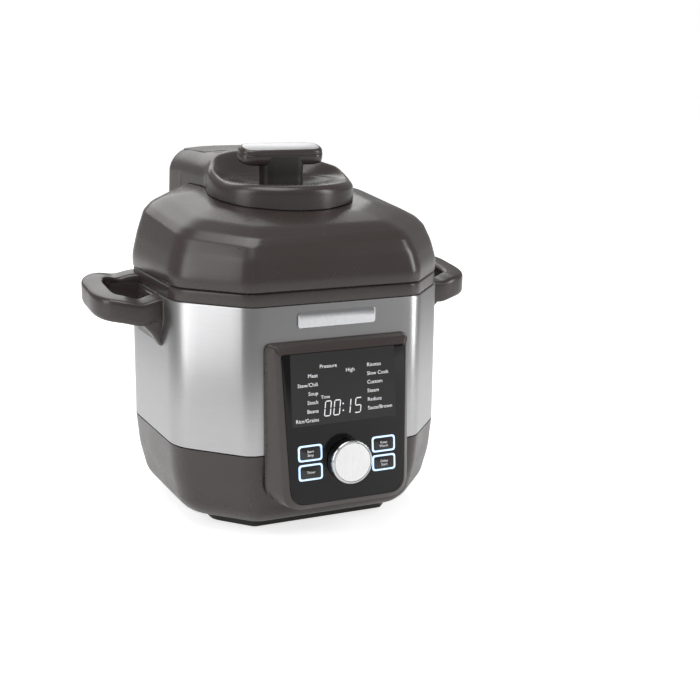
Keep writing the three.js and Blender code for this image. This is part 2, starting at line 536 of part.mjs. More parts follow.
function addCondensateCup() {
  const rail = join(
    box(-34, 34, HALF_DEPTH + 0.4, 136.6, 150, 195),
    box(31.4, 34, 136, 158, 184, 188), box(-34, -31.4, 136, 158, 184, 188),
  );
  add('cup_rail', rail, darkPlastic);
  const body = cut(slab(outline([[-30, 137, 2], [30, 137, 2], [30, 166, 10], [-30, 166, 10]]), 152, 190),
    slab(outline([[-28, 139, 2], [28, 139, 2], [28, 164, 9], [-28, 164, 9]]), 154, 200));
  const flanges = [box(29, 34, 138, 160, 188.3, 190), box(-34, -29, 138, 160, 188.3, 190)];
  add('condensate_cup', join(body, ...flanges), smokeClear);
}

addBase();
addBottomPlate();
addBand();
addCollar();
addWell();
addSensor();
addElectrics();
addHandle('handle_left', Math.PI);
addHandle('handle_right', 0);
addBezel();
addPanelPieces();
addBadge();
addLidCover();
addLidLining();
addConsole();
addPressureLid();
addValves();
addLock();
addLockHandle();
addHinge();
addCondensateCup();

export default object;
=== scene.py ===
import math

import bmesh
import bpy
import numpy as np
from mathutils import Matrix, Vector


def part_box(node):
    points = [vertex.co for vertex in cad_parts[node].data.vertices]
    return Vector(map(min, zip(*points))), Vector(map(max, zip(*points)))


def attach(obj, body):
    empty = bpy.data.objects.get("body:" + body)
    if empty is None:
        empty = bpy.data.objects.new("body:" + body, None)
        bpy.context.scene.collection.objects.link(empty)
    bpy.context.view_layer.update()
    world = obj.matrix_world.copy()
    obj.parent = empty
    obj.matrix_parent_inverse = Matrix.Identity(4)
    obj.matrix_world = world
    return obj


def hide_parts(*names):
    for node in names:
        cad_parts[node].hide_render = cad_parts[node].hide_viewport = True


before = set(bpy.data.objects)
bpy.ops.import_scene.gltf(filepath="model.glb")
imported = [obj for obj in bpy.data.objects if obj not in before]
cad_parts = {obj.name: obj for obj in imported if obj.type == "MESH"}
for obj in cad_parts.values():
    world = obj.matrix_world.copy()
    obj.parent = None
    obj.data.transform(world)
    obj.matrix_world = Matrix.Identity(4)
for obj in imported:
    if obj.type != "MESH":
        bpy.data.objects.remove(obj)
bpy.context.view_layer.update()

# ---- View, floor and lamps --------------------------------------------------------------------------
# The cooker stands on a white sweep. The camera looks at it from the front, a little to its left and
# above. Soft boxes above, behind and at both sides put the long reflections on the steel and the plastic.
MM = 0.001
POT_LOW, POT_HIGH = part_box("inner_pot")
AXIS_Y = (POT_LOW[1] + POT_HIGH[1]) / 2       # the pot's axis stands at x = 0 and this y


def place(x, y, z):
    """Millimetres from the pot's axis and the floor, as a point of the model in metres."""
    return Vector((x * MM, y * MM + AXIS_Y, z * MM))


camera_data = bpy.data.cameras.new("camera")
camera_data.lens = 65.88
camera_data.sensor_width = 36
camera_data.clip_start = 0.05
camera = bpy.data.objects.new("camera", camera_data)
bpy.context.scene.collection.objects.link(camera)
VIEW_TURN = math.radians(25.64)
VIEW_DOWN = math.radians(13.18)
VIEW_ROLL = math.radians(0.695)
ahead = Vector((
    math.sin(VIEW_TURN) * math.cos(VIEW_DOWN),
    math.cos(VIEW_TURN) * math.cos(VIEW_DOWN),
    -math.sin(VIEW_DOWN),
))
level_right = ahead.cross(Vector((0, 0, 1))).normalized()
level_up = level_right.cross(ahead)
view_right = level_right * math.cos(VIEW_ROLL) + level_up * math.sin(VIEW_ROLL)
view_up = level_up * math.cos(VIEW_ROLL) - level_right * math.sin(VIEW_ROLL)
view = Matrix((view_right, view_up, -ahead)).transposed().to_4x4()
view.translation = place(-487.2, -1177.7, 447.5)
camera.matrix_world = view
bpy.context.scene.camera = camera
bpy.context.scene.view_settings.view_transform = "Standard"


def new_node(tree, kind, values=(), **settings):
    """A shader node with its settings, and with values on its inputs."""
    node = tree.nodes.new(kind)
    for label, setting in settings.items():
        setattr(node, label, setting)
    for label, value in dict(values).items():
        node.inputs[label].default_value = value
    return node


def link(source, output, target, entry):
    """Joins an output of one shader node to an input of another."""
    source.id_data.links.new(source.outputs[output], target.inputs[entry])


def new_material(name):
    """A new material, its node tree and its shader."""
    material = bpy.data.materials.new(name)
    material.use_nodes = True
    return material, material.node_tree, material.node_tree.nodes["Principled BSDF"]


world = bpy.data.worlds.new("white room")
world.use_nodes = True
room_light = world.node_tree.nodes["Background"]
room_light.inputs["Color"].default_value = (1, 1, 1, 1)
room_ray = new_node(world.node_tree, "ShaderNodeLightPath")
room_power = new_node(world.node_tree, "ShaderNodeMapRange", {"To Min": 0.32, "To Max": 1.0})
link(room_ray, "Is Camera Ray", room_power, "Value")
link(room_power, "Result", room_light, "Strength")
bpy.context.scene.world = world

floor_mesh = bpy.data.meshes.new("floor")
floor_mesh.from_pydata([(-9, -9, 0), (9, -9, 0), (9, 9, 0), (-9, 9, 0)], [], [(0, 1, 2, 3)])
floor = bpy.data.objects.new("floor", floor_mesh)
bpy.context.scene.collection.objects.link(floor)
floor_paint, floor_tree, paint_shader = new_material("floor_paint")
paint_shader.inputs["Base Color"].default_value = (0.95, 0.95, 0.95, 1)
paint_shader.inputs["Roughness"].default_value = 0.9
paint_shader.inputs["Specular IOR Level"].default_value = 0.0
paint_shader.inputs["Emission Color"].default_value = (1, 1, 1, 1)
floor_ray = new_node(floor_tree, "ShaderNodeLightPath")
floor_glow = new_node(floor_tree, "ShaderNodeMapRange", {"To Min": 0.3, "To Max": 0.7})
link(floor_ray, "Is Camera Ray", floor_glow, "Value")
link(floor_glow, "Result", paint_shader, "Emission Strength")
floor_mesh.materials.append(floor_paint)


def soft_box(name, where, aim, width, height, power):
    """A flat lamp at a point, turned to face another point."""
    data = bpy.data.lights.new(name, "AREA")
    data.shape = "RECTANGLE"
    data.size = width
    data.size_y = height
    data.energy = power
    lamp = bpy.data.objects.new(name, data)
    lamp.location = where
    lamp.rotation_euler = (Vector(aim) - Vector(where)).to_track_quat("-Z", "Y").to_euler()
    bpy.context.scene.collection.objects.link(lamp)


soft_box("top_box", (-0.3, -0.2, 1.7), (0, 0, 0.3), 1.2, 1.0, 14)
soft_box("rear_box", (0.2, 1.9, 1.3), (0, 0, 0.3), 2.0, 1.0, 9)
soft_box("left_box", (-1.5, -0.2, 0.8), (0, 0, 0.2), 0.6, 1.3, 8)
soft_box("right_box", (1.4, -1.0, 0.8), (0, 0, 0.2), 0.45, 1.2, 11)

# ---- Base housing -----------------------------------------------------------------------------------
# The lower body is one moulding in warm charcoal plastic with a fine satin grain. Its eight-sided wall
# rounds inward to the bottom plate, which four screws hold.
HALF_WIDTH, HALF_DEPTH = 138.5, 134.0
FRONT_FLAT, REAR_FLAT = 85.0, 83.0
SIDE_FRONT, SIDE_REAR = -75.0, 62.0


def rounded(points, setbacks, steps, closed=False):
    """A polyline with each corner replaced by a short curve that starts a setback away from it."""
    points = [np.array(p, float) for p in points]
    made = []
    count = len(points)
    for i, here in enumerate(points):
        setback = setbacks[i] if hasattr(setbacks, "__len__") else setbacks
        if setback == 0 or (not closed and i in (0, count - 1)):
            made.append(here)
            continue
        back, on = points[i - 1], points[(i + 1) % count]
        start = here + (back - here) * min(setback / np.linalg.norm(back - here), 0.49)
        end = here + (on - here) * min(setback / np.linalg.norm(on - here), 0.49)
        for k in range(steps + 1):
            t = k / steps
            made.append(start * (1 - t) ** 2 + here * 2 * t * (1 - t) + end * t * t)
    return np.array(made)


def finely(points, step, closed=True):
    """The same line with extra points, so that no two are further apart than a step."""
    made = []
    count = len(points)
    for i in range(count if closed else count - 1):
        here, on = points[i], points[(i + 1) % count]
        parts = max(1, int(np.ceil(np.linalg.norm(on - here) / step)))
        made.extend(here + (on - here) * k / parts for k in range(parts))
    if not closed:
        made.append(points[-1])
    return np.array(made)


body_line = finely(rounded(
    [(-FRONT_FLAT, -HALF_DEPTH), (FRONT_FLAT, -HALF_DEPTH), (HALF_WIDTH, SIDE_FRONT), (HALF_WIDTH, SIDE_REAR),
     (REAR_FLAT, HALF_DEPTH), (-REAR_FLAT, HALF_DEPTH), (-HALF_WIDTH, SIDE_REAR), (-HALF_WIDTH, SIDE_FRONT)],
    [10, 10, 16, 16, 18, 18, 18, 18], 8, closed=True), 9)


def body_ring(z, side, end, slope=0.0):
    """The body's outline at a height, drawn in at the sides and at the ends."""
    x = body_line[:, 0] * (HALF_WIDTH - side) / HALF_WIDTH
    y = body_line[:, 1] * (HALF_DEPTH - end) / HALF_DEPTH
    return np.column_stack([x, y, z + slope * y])


def mesh_piece(name, points, faces, material, body, stands_for=(), slot=None, sharp=35):
    """A new piece from points in millimetres, which rides on a body and stands for CAD nodes."""
    mesh = bpy.data.meshes.new(name)
    mesh.from_pydata([place(*p) for p in points], [], faces)
    mesh.validate()
    solid = bmesh.new()
    solid.from_mesh(mesh)
    bmesh.ops.remove_doubles(solid, verts=solid.verts, dist=1e-6)
    bmesh.ops.recalc_face_normals(solid, faces=solid.faces)
    solid.to_mesh(mesh)
    solid.free()
    mesh.polygons.foreach_set("use_smooth", [True] * len(mesh.polygons))
    mesh.set_sharp_from_angle(angle=math.radians(sharp))
    mesh.materials.append(material)
    piece = bpy.data.objects.new(name, mesh)
    bpy.context.scene.collection.objects.link(piece)
    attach(piece, body)
    if stands_for:
        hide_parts(*stands_for)
    return piece


def skin(rings, start=None, end=None):
    """Points and faces of a skin over rings of equal length. An end is None for open, "flat" for one face,
    or "loop" to join the last ring to the first."""
    count = len(rings[0])
    points = [tuple(p) for ring in rings for p in ring]
    faces = []
    rows = len(rings)
    for row in range(rows if end == "loop" else rows - 1):
        low, high = row * count, (row + 1) % rows * count
        for i in range(count):
            j = (i + 1) % count
            faces.append((low + i, low + j, high + j, high + i))
    if start == "flat":
        faces.append(tuple(range(count))[::-1])
    if end == "flat":
        faces.append(tuple(range((rows - 1) * count, rows * count)))
    return points, faces


def closed_piece(name, rings, *facts, sharp=35):
    """A piece over rings, with a flat face at each end."""
    return mesh_piece(name, *skin(rings, "flat", "flat"), *facts, sharp=sharp)


def looped_piece(name, rings, *facts, sharp=35):
    """A piece over rings, the last of which joins the first."""
    return mesh_piece(name, *skin(rings, end="loop"), *facts, sharp=sharp)


def new_group(name, inputs, outputs):
    """An empty shader node group with its sockets, and the two nodes that stand for them inside."""
    group = bpy.data.node_groups.new(name, "ShaderNodeTree")
    for label, kind, value in inputs:
        socket = group.interface.new_socket(name=label, in_out="INPUT", socket_type=kind)
        socket.default_value = value
    for label, kind in outputs:
        group.interface.new_socket(name=label, in_out="OUTPUT", socket_type=kind)
    return group, group.nodes.new("NodeGroupInput"), group.nodes.new("NodeGroupOutput")


# Moulded grain: a fine pebbled bump with broad, faint changes of shade and gloss.
grain, grain_in, grain_out = new_group(
    "moulded grain",
    [("Colour", "NodeSocketColor", (0.5, 0.5, 0.5, 1)), ("Grain size", "NodeSocketFloat", 900.0),
     ("Grain depth", "NodeSocketFloat", 0.1), ("Gloss", "NodeSocketFloat", 0.4),
     ("Gloss change", "NodeSocketFloat", 0.06)],
    [("Colour", "NodeSocketColor"), ("Roughness", "NodeSocketFloat"), ("Normal", "NodeSocketVector")])
where = new_node(grain, "ShaderNodeTexCoord")
pebbles = new_node(grain, "ShaderNodeTexNoise", {"Detail": 3})
clouds = new_node(grain, "ShaderNodeTexNoise", {"Scale": 14, "Detail": 4})
link(where, "Object", pebbles, "Vector")
link(where, "Object", clouds, "Vector")
link(grain_in, "Grain size", pebbles, "Scale")
pit = new_node(grain, "ShaderNodeBump", {"Distance": 0.0002})
link(pebbles, "Fac", pit, "Height")
link(grain_in, "Grain depth", pit, "Strength")
link(pit, "Normal", grain_out, "Normal")
spread = new_node(grain, "ShaderNodeMapRange", {"From Min": 0.3, "From Max": 0.7, "To Min": -1})
link(clouds, "Fac", spread, "Value")
change = new_node(grain, "ShaderNodeMath", operation="MULTIPLY_ADD")
link(spread, "Result", change, 0)
link(grain_in, "Gloss change", change, 1)
link(grain_in, "Gloss", change, 2)
link(change, "Value", grain_out, "Roughness")
paler = {"B": (0.9, 0.9, 0.9, 1)}
mottle = new_node(grain, "ShaderNodeMix", paler, data_type="RGBA", blend_type="MULTIPLY")
link(clouds, "Fac", mottle, "Factor")
link(grain_in, "Colour", mottle, "A")
link(mottle, "Result", grain_out, "Colour")


def linear(red, green, blue):
    """A screen colour from 0 to 255 as the shader's linear colour."""
    part = [v / 255 for v in (red, green, blue)]
    return tuple(v / 12.92 if v <= 0.04045 else ((v + 0.055) / 1.055) ** 2.4 for v in part) + (1,)


def wear_group(tree, shader, group, values):
    """Puts a node group with its values on a shader's colour, gloss and normal."""
    surface = new_node(tree, "ShaderNodeGroup", values, node_tree=group)
    link(surface, "Colour", shader, "Base Color")
    link(surface, "Roughness", shader, "Roughness")
    link(surface, "Normal", shader, "Normal")


def grained_plastic(name, colour, gloss, size=900.0, depth=0.1, change=0.06):
    """A moulded plastic with the grain group on it."""
    material, tree, shader = new_material(name)
    values = {"Colour": colour, "Grain size": size, "Grain depth": depth}
    wear_group(tree, shader, grain, {**values, "Gloss": gloss, "Gloss change": change})
    return material


charcoal = grained_plastic("charcoal_plastic", linear(58, 51, 49), 0.27, 1100, 0.12)
base_levels = rounded([(11.5, 24), (14, 19), (24, 9.5), (52, 2.8), (83.7, 0)], 7, 5)
base_rings = [body_ring(11.5, 44, 44)] + [body_ring(z, inset, inset) for z, inset in base_levels]
inner_levels = ((83.7, 2.5), (52, 5.6), (26, 12.5), (16, 22), (14, 44))
base_rings += [body_ring(z, inset, inset) for z, inset in inner_levels]
base_shell = closed_piece("base_shell", base_rings, charcoal, "housing", ["base_housing"], "charcoal")

# ---- Steel band and collar --------------------------------------------------------------------------
# A sheet of stainless steel, brushed along its length, wraps the body. Its top edge is rolled and shines,
# and the charcoal collar that takes the lid's lock ring stands above it.
brushing, brush_in, brush_out = new_group(
    "brushed lines",
    [("Colour", "NodeSocketColor", (0.6, 0.6, 0.6, 1)), ("Across", "NodeSocketVector", (40, 40, 4000)),
     ("Depth", "NodeSocketFloat", 0.05), ("Gloss", "NodeSocketFloat", 0.3)],
    [("Colour", "NodeSocketColor"), ("Roughness", "NodeSocketFloat"), ("Normal", "NodeSocketVector")])
metal_where = new_node(brushing, "ShaderNodeTexCoord")
stretch = new_node(brushing, "ShaderNodeVectorMath", operation="MULTIPLY")
link(metal_where, "Object", stretch, 0)
link(brush_in, "Across", stretch, 1)
lines = new_node(brushing, "ShaderNodeTexNoise", {"Scale": 1, "Detail": 4})
link(stretch, "Vector", lines, "Vector")
scratch = new_node(brushing, "ShaderNodeBump", {"Distance": 0.0001})
link(lines, "Fac", scratch, "Height")
link(brush_in, "Depth", scratch, "Strength")
link(scratch, "Normal", brush_out, "Normal")
dull = new_node(brushing, "ShaderNodeMath", {1: 0.16}, operation="MULTIPLY_ADD")
link(lines, "Fac", dull, 0)
link(brush_in, "Gloss", dull, 2)
link(dull, "Value", brush_out, "Roughness")
darker = {"B": (0.82, 0.82, 0.82, 1)}
shade = new_node(brushing, "ShaderNodeMix", darker, data_type="RGBA", blend_type="MULTIPLY")
link(lines, "Fac", shade, "Factor")
link(brush_in, "Colour", shade, "A")
link(shade, "Result", brush_out, "Colour")


def brushed_metal(name, colour, gloss, across=(40, 40, 4000), depth=0.05):
    """A metal with fine parallel lines. Across is how fast the lines change along each axis."""
    material, tree, shader = new_material(name)
    shader.inputs["Metallic"].default_value = 1
    values = {"Colour": colour, "Across": across, "Depth": depth, "Gloss": gloss}
    wear_group(tree, shader, brushing, values)
    return material


band_steel = brushed_metal("band_steel", linear(180, 180, 181), 0.24, (30, 30, 5000), 0.06)
band_levels = [(84.3, 1.4), (84.3, 0.7), (84.9, 0), (221.4, 0), (222.3, 0.5), (222.5, 1.4)]
band_rings = [body_ring(z, inset, inset) for z, inset in band_levels]
looped_piece("band_sheet", band_rings, band_steel, "housing", ["steel_band"], "brushed_band")

collar_levels = rounded([(212, 1.7), (223.0, 1.7), (223.2, 1.1), (233.6, 1.1), (234.9, 2.4)], 0.5, 2)


def circle_ring(radius, z):
    """A circle whose points stand at the same angles as those of the body's outline."""
    reach = np.linalg.norm(body_line, axis=1)
    return np.column_stack([body_line / reach[:, None] * radius, np.full(len(reach), z)])


collar_rings = [body_ring(z, inset, inset) for z, inset in collar_levels]
collar_rings += [circle_ring(128.6, 234.9), circle_ring(127.6, 234), circle_ring(127.6, 214.6)]
collar_rings += [circle_ring(117.3, 214.6), circle_ring(117.3, 212)]
looped_piece("collar_ring", collar_rings, charcoal, "housing", ["top_collar"], "charcoal")

# ---- Lid cover and its lining -----------------------------------------------------------------------
# A thick moulded cover: a short upright wall, a wide slanted band, a crease, and a top that rises a little
# to the rear. Inside it a dark lining plate closes the space round the pressure lid.
lid_levels = rounded(
    [(235.6, 1.6, 1.6, 0), (236.6, 0.6, 0.6, 0), (247, 0, 0.4, 0), (268, 5, 5, 0.03),
     (285.7, 11.2, 11.5, 0.08), (293, 18, 17, 0.09), (300.5, 32, 30, 0.1), (306, 58, 60, 0.1),
     (307, 92, 92, 0.1)],
    [0, 0.5, 8, 5, 2.6, 3.2, 7, 8, 0], 5)
lid_rings = [body_ring(238.4, 4.6, 4.6), body_ring(235.6, 4.2, 4.2)]
lid_rings += [body_ring(z, side, end, slope) for z, side, end, slope in lid_levels]
mesh_piece("cover_shell", *skin(lid_rings, end="flat"), charcoal, "lid", ["lid_cover"], "charcoal")

# This darker plastic is the real colour of the lining, caps and other dark parts, and painted shade on the
# handle stem.
dark_plastic = grained_plastic("dark_plastic", linear(36, 33, 31), 0.5, 700, 0.15)
lining_rings = [body_ring(240.6, 5, 5), body_ring(238.3, 5, 5)]
lining_rings += [circle_ring(128, 238.3), circle_ring(128, 240.6)]
looped_piece("lining_plate", lining_rings, dark_plastic, "lid", ["lid_lining"], "dark_plastic")

# ---- Lid console ------------------------------------------------------------------------------------
# One moulding on top of the lid: a round rim with a bowl for the lock handle, which runs back and up into a
# tower over the hinge. Screws from inside the lid hold it down, and a fine gap runs round its foot.
RIM_RADIUS, RIM_HEIGHT, RIM_EDGE = 71.5, 322.4, 8.0
TOWER_SIDE, TOWER_REAR, TOWER_TOP, TOWER_EDGE = 65.0, 184.0, 346.2, 21.0
BOWL_RADIUS, BOWL_FLOOR, BOWL_DEPTH = 52.0, 311.0, 11.0
SIDE_FALL, REAR_FALL = 3.6, 4.0               # how far the crown falls to the tower's sides and rear


def plan_distance(x, y):
    """How far a point lies outside the console's outline; negative inside."""
    round_part = np.hypot(x, y) - RIM_RADIUS
    corner = 22.0
    across = np.abs(x) - (TOWER_SIDE - corner)
    along = np.abs(y - TOWER_REAR / 2) - (TOWER_REAR / 2 - corner)
    beyond = np.hypot(np.maximum(across, 0), np.maximum(along, 0))
    square_part = beyond + np.minimum(np.maximum(across, along), 0) - corner
    blend = 12.0
    share = np.clip(0.5 + 0.5 * (square_part - round_part) / blend, 0, 1)
    return square_part * (1 - share) + round_part * share - blend * share * (1 - share)


def ease(value):
    """A smooth step from 0 to 1."""
    value = np.clip(value, 0, 1)
    return value * value * (3 - 2 * value)


def top_height(x, y):
    """The upper side before its bowl and its edges: a level rim, and a crowned tower behind it."""
    rise_y = [-90, -20, -8, 2, 12, 24, 38, 52, 400]
    rise_z = [RIM_HEIGHT, RIM_HEIGHT, 325.5, 331, 338, 344, 346.6, TOWER_TOP, TOWER_TOP]
    smooth = np.zeros_like(y)
    for shift in (-6, -3, 0, 3, 6):
        smooth = smooth + np.interp(y + shift, rise_y, rise_z) / 5
    outward = ease((np.hypot(x, y) - BOWL_RADIUS - 2) / 22)
    crown = SIDE_FALL * (x / 55) ** 2 * ease((y - 10) / 60) + REAR_FALL * np.maximum((y - 118) / 66, 0) ** 2
    return RIM_HEIGHT + (smooth - RIM_HEIGHT) * outward - crown * outward


def console_height(x, y):
    """The finished upper side: edges rounded off and the bowl sunk in."""
    reach = np.hypot(x, y)
    depth = np.maximum(-plan_distance(x, y), 0)
    edge = RIM_EDGE + (TOWER_EDGE - RIM_EDGE) * ease((y + 10) / 60)
    fall = edge - np.sqrt(np.maximum(edge ** 2 - np.maximum(edge - depth, 0) ** 2, 0))
    top = top_height(x, y) - fall
    bowl = BOWL_FLOOR + BOWL_DEPTH * (reach / BOWL_RADIUS) ** 3
    bowl = bowl + 2 * np.maximum(reach - BOWL_RADIUS - 2, 0) ** 1.6
    soft = 2.2
    share = np.clip(0.5 + 0.5 * (bowl - top) / soft, 0, 1)
    return bowl * (1 - share) + top * share - soft * share * (1 - share)


def outline_reach(angle):
    """How far the console's outline lies from the pot's axis in a direction."""
    near, far = 20.0, 260.0
    for _ in range(40):
        middle = (near + far) / 2
        if plan_distance(np.array(middle * math.cos(angle)), np.array(middle * math.sin(angle))) < 0:
            near = middle
        else:
            far = middle
    return near


def outline_scale(x, y):
    """The scale at which the body's outline passes through a point."""
    steps = np.arctan2(body_line[:, 1], body_line[:, 0])
    order = np.argsort(steps)
    reaches = np.linalg.norm(body_line, axis=1)[order]
    return math.hypot(x, y) / np.interp(math.atan2(y, x), steps[order], reaches, period=2 * math.pi)


def lid_surface(x, y):
    """Height of the lid's outer side at a point; nothing outside the lid."""
    scale_at = outline_scale(x, y)
    if scale_at > 1:
        return 0.0
    scales = (HALF_WIDTH - lid_levels[:, 1]) / HALF_WIDTH
    order = np.argsort(scales)
    height = np.interp(scale_at, scales[order], lid_levels[order, 0])
    slope = np.interp(scale_at, scales[order], lid_levels[order, 3])
    return float(height + slope * y)


walk = np.radians(np.arange(0, 360, 0.5))
edge_points = np.array([(outline_reach(a) * math.cos(a), outline_reach(a) * math.sin(a)) for a in walk])
closed_edge = np.vstack([edge_points, edge_points[:1]])
spacing = np.concatenate([[0], np.cumsum(np.linalg.norm(np.diff(closed_edge, axis=0), axis=1))])
stations = np.linspace(0, spacing[-1], 301)[:-1]
edge_line = np.column_stack([np.interp(stations, spacing, closed_edge[:, k]) for k in (0, 1)])
edge_reach = np.linalg.norm(edge_line, axis=1)
edge_way = edge_line / edge_reach[:, None]
console_rings = []
for inset in (3.2, 3.2, 0.0, 0.0):
    drawn = edge_way * (edge_reach - inset)[:, None]
    console_rings.append(np.column_stack([drawn, np.zeros(len(drawn))]))
foot = np.array([max(lid_surface(x, y) + 1.1, 238.0) for x, y in edge_line])
console_rings[0][:, 2] = np.maximum(foot - 9, 236)
console_rings[1][:, 2] = foot + 0.6
console_rings[2][:, 2] = foot
top_edge = console_height(edge_line[:, 0], edge_line[:, 1])
console_rings[3][:, 2] = np.maximum(top_edge - 0.3, foot + 1)
outer_insets = [0.15, 0.5, 1, 1.7, 2.6, 3.6, 4.8, 6.2, 7.8, 9.6, 11.6, 13.8, 16.2]
inner_reaches = [58, 56.5, 55.2, 54, 53, 52, 51, 50, 49, 48, 47, 46, 45, 44, 43, 42, 40, 36, 30, 20, 10, 4]
BOWL_BORDER = 59.0                            # inside it the rings are circles
last_outer = np.maximum(edge_reach - outer_insets[-1], BOWL_BORDER)
fill = np.linspace(0, 1, 26)[1:-1]
reaches = [np.maximum(edge_reach - inset, BOWL_BORDER + (13.8 - inset) * 0.02) for inset in outer_insets]
reaches += [last_outer * (1 - t) + (BOWL_BORDER - 0.5) * t for t in fill]
reaches += [np.full(len(edge_reach), float(r)) for r in inner_reaches]
for reach in reaches:
    x = edge_way[:, 0] * reach
    y = edge_way[:, 1] * reach
    console_rings.append(np.column_stack([x, y, console_height(x, y)]))
SIDE_LEAN = 0.07                              # the tower's sides lean in towards its top
for ring in console_rings:
    lean = ease((ring[:, 1] - 10) / 50) * np.clip((ring[:, 2] - 270) / 76, 0, 1)
    ring[:, 0] *= 1 - SIDE_LEAN * lean
console = closed_piece("console_shell", console_rings, charcoal, "lid", ["lid_console"], "charcoal", sharp=50)


def prism(outline, low, high):
    """Points and faces of an upright block over a flat outline."""
    rings = [np.column_stack([outline, np.full(len(outline), z)]) for z in (low, high)]
    return skin(rings, "flat", "flat")


def rounded_rectangle(half_width, half_depth, corner, centre=(0, 0), steps=8):
    """A flat outline: a rectangle with round corners."""
    x, y = centre
    corners = [(x - half_width, y - half_depth), (x + half_width, y - half_depth),
               (x + half_width, y + half_depth), (x - half_width, y + half_depth)]
    return rounded(corners, corner, steps, closed=True)


def carve(piece, tools):
    """Cuts blocks out of a piece for good."""
    for outline, low, high in tools:
        points, faces = prism(outline, low, high)
        mesh = bpy.data.meshes.new("tool")
        mesh.from_pydata([place(*p) for p in points], [], faces)
        tool = bpy.data.objects.new("tool", mesh)
        bpy.context.scene.collection.objects.link(tool)
        step = piece.modifiers.new("cut", "BOOLEAN")
        step.operation = "DIFFERENCE"
        step.object = tool
        step.solver = "EXACT"
        bpy.context.view_layer.update()
        shape = bpy.data.meshes.new_from_object(piece.evaluated_get(bpy.context.evaluated_depsgraph_get()))
        piece.modifiers.clear()
        piece.data = shape
        bpy.data.objects.remove(tool)
    piece.data.set_sharp_from_angle(angle=math.radians(35))


VENT_Y = 130.0
carve(console, [
    (rounded_rectangle(47.2, 45.4, 14, (0, VENT_Y)), 338.6, 360),
    (rounded_rectangle(43, 41, 10, (0, VENT_Y)), 321, 350),
    (rounded_rectangle(3.4, 3, 1.4, (-30, VENT_Y - 46)), 339.6, 360),
])

# ---- Steam vent cover -------------------------------------------------------------------------------
# A loose cover in a lighter grey lies in a seat on top of the tower, with four slots for the steam and a
# dip at its front edge for a fingertip.
vent_grey = grained_plastic("vent_grey", linear(86, 84, 80), 0.4, 1100, 0.1)
vent_line = rounded_rectangle(46.3, 44.5, 13.4, (0, VENT_Y))


def toward_middle(outline, inset, centre):
    """An outline drawn in towards its middle by an inset."""
    middle = np.array(centre)
    half = np.abs(outline - middle).max(axis=0)
    return middle + (outline - middle) * (half - inset) / half


def level_rings(outline, levels, centre=(0, 0)):
    """An outline at each height, drawn in by the inset that goes with it."""
    drawn = [(toward_middle(outline, inset, centre), z) for z, inset in levels]
    return [np.column_stack([flat, np.full(len(flat), z)]) for flat, z in drawn]


vent_rings = level_rings(vent_line, [(339, 0.6), (339, 0)], (0, VENT_Y))
for inset in (0.15, 0.7, 2, 5, 10, 18, 28, 38):
    flat = toward_middle(vent_line, inset, (0, VENT_Y))
    height = console_height(flat[:, 0], flat[:, 1]) + 0.15 - max(0.9 - inset, 0)
    vent_rings.append(np.column_stack([flat, height]))
vent_plate = closed_piece("vent_plate", vent_rings, vent_grey, "vent_cover", ["steam_vent_cover"], "charcoal")
slots = [(rounded_rectangle(2, 12, 1.9, (across, VENT_Y + 24)), 330, 360) for across in (-18, -6, 6, 18)]
turn = np.linspace(0, 2 * math.pi, 25)[:-1]
dip = np.column_stack([7 * np.cos(turn), VENT_Y - 44.6 + 7 * np.sin(turn)])
carve(vent_plate, slots + [(dip, 343.6, 360)])

# ---- Lock handle ------------------------------------------------------------------------------------
# A stout bar on a waisted stem, pinned to the lock shaft by a screw under its bright inlay. Turning it by
# thirty degrees turns the lock ring under the lid.
HANDLE_MIDDLE, HANDLE_SLOPE = 354.8, 0.2356


def lean_forward(outline, z):
    """An outline at a height of the upright bar, turned with the bar to face the front."""
    y, up = outline[:, 1], z - HANDLE_MIDDLE
    return np.column_stack([outline[:, 0], y * math.cos(HANDLE_SLOPE) - up * math.sin(HANDLE_SLOPE),
                            HANDLE_MIDDLE + y * math.sin(HANDLE_SLOPE) + up * math.cos(HANDLE_SLOPE)])


bar_line = rounded_rectangle(43.5, 14.8, 14.4, steps=14)
bar_levels = [
    (338.8, 3.6), (339.2, 2.4), (340.0, 1.3), (341.6, 0.35), (343.4, 0), (349.0, 0.1), (349.4, 0.35),
    (349.7, 0.9), (350.1, 0.95), (350.5, 0.5), (351.6, 0.55), (352.8, 1.0), (353.8, 1.8), (354.4, 2.7),
    (354.5, 3.4), (353.4, 3.7), (353.3, 5),
]
bar_rings = [lean_forward(toward_middle(bar_line, inset, (0, 0)), z) for z, inset in bar_levels]
closed_piece("handle_bar", bar_rings, charcoal, "lid_lock", ["lock_handle"], "charcoal", sharp=40)
stem_line = rounded_rectangle(21.5, 12, 10, steps=10)
stem_levels = rounded([(309.9, -1.2), (312, -0.4), (325, 0.6), (337, -0.4), (345, -1)], 3, 4)
# The stem takes the darker plastic as painted shade for the shadow under the bar; it is moulded in the bar's
# charcoal.
closed_piece("handle_stem", level_rings(stem_line, stem_levels), dark_plastic, "lid_lock", (), "charcoal")
inlay_steel = brushed_metal("inlay_steel", linear(236, 236, 237), 0.34, (60, 2500, 60), 0.05)
inlay_levels = [(353.5, 0.3), (353.7, 0), (354.5, 0), (354.75, 0.5)]
inlay_line = rounded_rectangle(39.6, 11.0, 10.8, steps=14)
inlay_rings = [lean_forward(toward_middle(inlay_line, inset, (0, 0)), z) for z, inset in inlay_levels]
closed_piece("inlay_plate", inlay_rings, inlay_steel, "lid_lock", ["handle_inlay"], "brushed_band")

# ---- Side handles -----------------------------------------------------------------------------------
# Each handle is one moulding: a thick loop for the hand, and under each end of it a bracket that spreads
# into a flange against the steel. Screws from inside the body hold it.
GRIP_TOP, GRIP_SLOPE = 226.5, 0.13            # the loop rises a little to the rear


